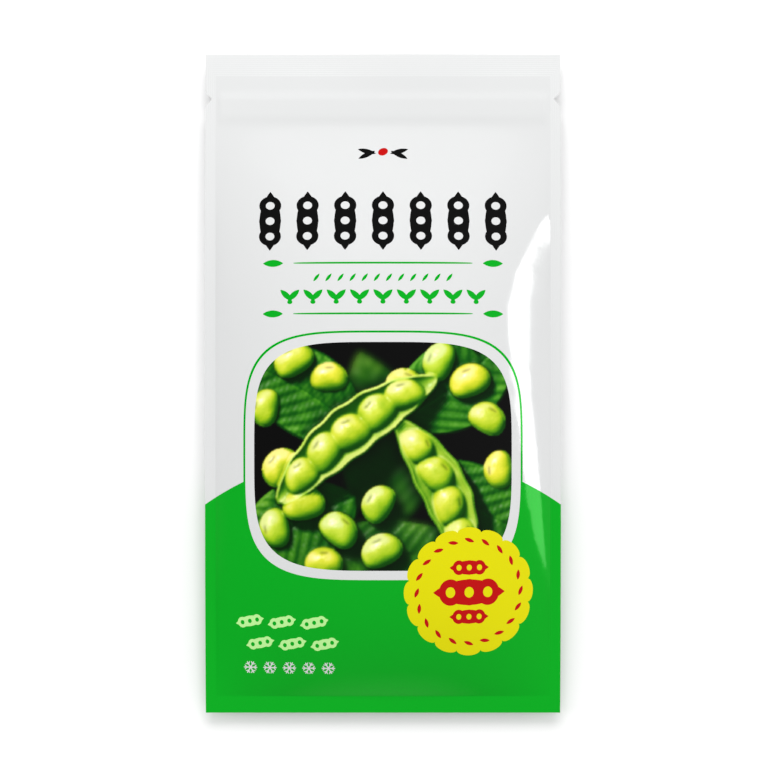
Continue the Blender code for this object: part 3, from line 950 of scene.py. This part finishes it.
def area_light(name, place, target, size, power, seen_in_gloss, shape, turn):
    light = bpy.data.lights.new(name, "AREA")
    light.shape, light.size, light.size_y = shape, size[0], size[1]
    light.energy = power
    lamp = bpy.data.objects.new(name, light)
    lamp.location = place
    aim = (Vector(target) - Vector(place)).to_track_quat("-Z", "Y").to_matrix().to_4x4()
    lamp.rotation_euler = (aim @ Matrix.Rotation(turn, 4, "Z")).to_euler()
    lamp.visible_glossy = seen_in_gloss
    lamp.visible_camera = False
    bpy.context.scene.collection.objects.link(lamp)
    return lamp


def make_world():
    """White all round, brighter from the right; a glossy surface sees less of it overhead."""
    world = bpy.data.worlds.new("studio")
    world.use_nodes = True
    tree = world.node_tree
    ray = node(tree, "ShaderNodeLightPath")
    coords = node(tree, "ShaderNodeTexCoord")
    spot = node(tree, "ShaderNodeSeparateXYZ", {0: coords.outputs["Generated"]})
    inputs = {"Value": spot.outputs["X"], "From Min": -1.0, "To Min": ROOM_LEFT, "To Max": ROOM_RIGHT}
    side = node(tree, "ShaderNodeMapRange", inputs).outputs[0]
    inputs = {"Value": spot.outputs["Z"], "From Min": 0.30, "From Max": 0.04}
    inputs.update({"To Min": GLOSS_OVERHEAD, "To Max": GLOSS_SIDEWAYS})
    low = node(tree, "ShaderNodeMapRange", inputs).outputs[0]
    gloss = node(tree, "ShaderNodeMath", {0: side, 1: low}, operation="MULTIPLY").outputs[0]
    light = node(tree, "ShaderNodeMix", {0: ray.outputs["Is Glossy Ray"], 2: side, 3: gloss}).outputs[0]
    shown = node(tree, "ShaderNodeMix", {0: ray.outputs["Is Camera Ray"], 2: light, 3: 1.0}).outputs[0]
    background = tree.nodes["Background"]
    background.inputs["Color"].default_value = (1, 1, 1, 1)
    tree.links.new(shown, background.inputs["Strength"])
    bpy.context.scene.world = world


def make_stage():
    """The lamps over matt white paper, which takes soft shadows and has no shine."""
    bpy.ops.object.select_all(action="DESELECT")
    bpy.ops.mesh.primitive_plane_add(size=FLOOR_SIZE, location=(0, 0, -FLOOR_DROP))
    floor = bpy.context.object
    floor.name = "floor"
    mat, tree, shader = new_material("matt_white_paper")
    shader.inputs["Base Color"].default_value = (FLOOR_WHITE, FLOOR_WHITE, FLOOR_WHITE, 1)
    shader.inputs["Roughness"].default_value = 0.9
    shader.inputs["Specular IOR Level"].default_value = 0.0
    floor.data.materials.append(mat)
    for lamp in LAMPS:
        area_light(*lamp)
    make_world()


def make_camera():
    data = bpy.data.cameras.new("camera")
    data.lens, data.sensor_width = LENS_MM, SENSOR_MM
    camera = bpy.data.objects.new("camera", data)
    camera.location = CAMERA_PLACE
    bpy.context.scene.collection.objects.link(camera)
    bpy.context.scene.camera = camera
    bpy.context.scene.view_settings.view_transform = "Standard"


make_camera()
make_stage()

# Front and back: printed outside, with the bare lining inside and at the cut edges
lining = drawn_plastic("white_polyethylene_lining", "#EEF0EF", "#DDE0DF", 0.42, (1.5, 60, 60))
front_finish = printed_film("reverse_printed_front_laminate", front_print)
back_finish = printed_film("reverse_printed_back_laminate", back_print)
front = lay_film("front_panel", front_height, 1, front_finish, lining)
back = lay_film("back_panel", back_height, -1, back_finish, lining)
print_picture(front)
for piece, cad_node in ((front, "front_film"), (back, "back_film")):
    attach(piece, "root")
    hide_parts(cad_node)

# The strip and the pods keep the frame's shapes and take finished materials
strip_plastic = drawn_plastic("extruded_milky_polyethylene", "#EEF2F0", "#D3DAD8", 0.38, (60, 0.4, 0.4))
skin = pod_skin()
for cad_node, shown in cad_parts.items():
    if cad_node.startswith(("zip_", "pod_")):
        shown.material_slots[0].material = skin if cad_node.startswith("pod_") else strip_plastic
heap = fill_pouch("heaped_pods", skin)
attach(heap, "root")
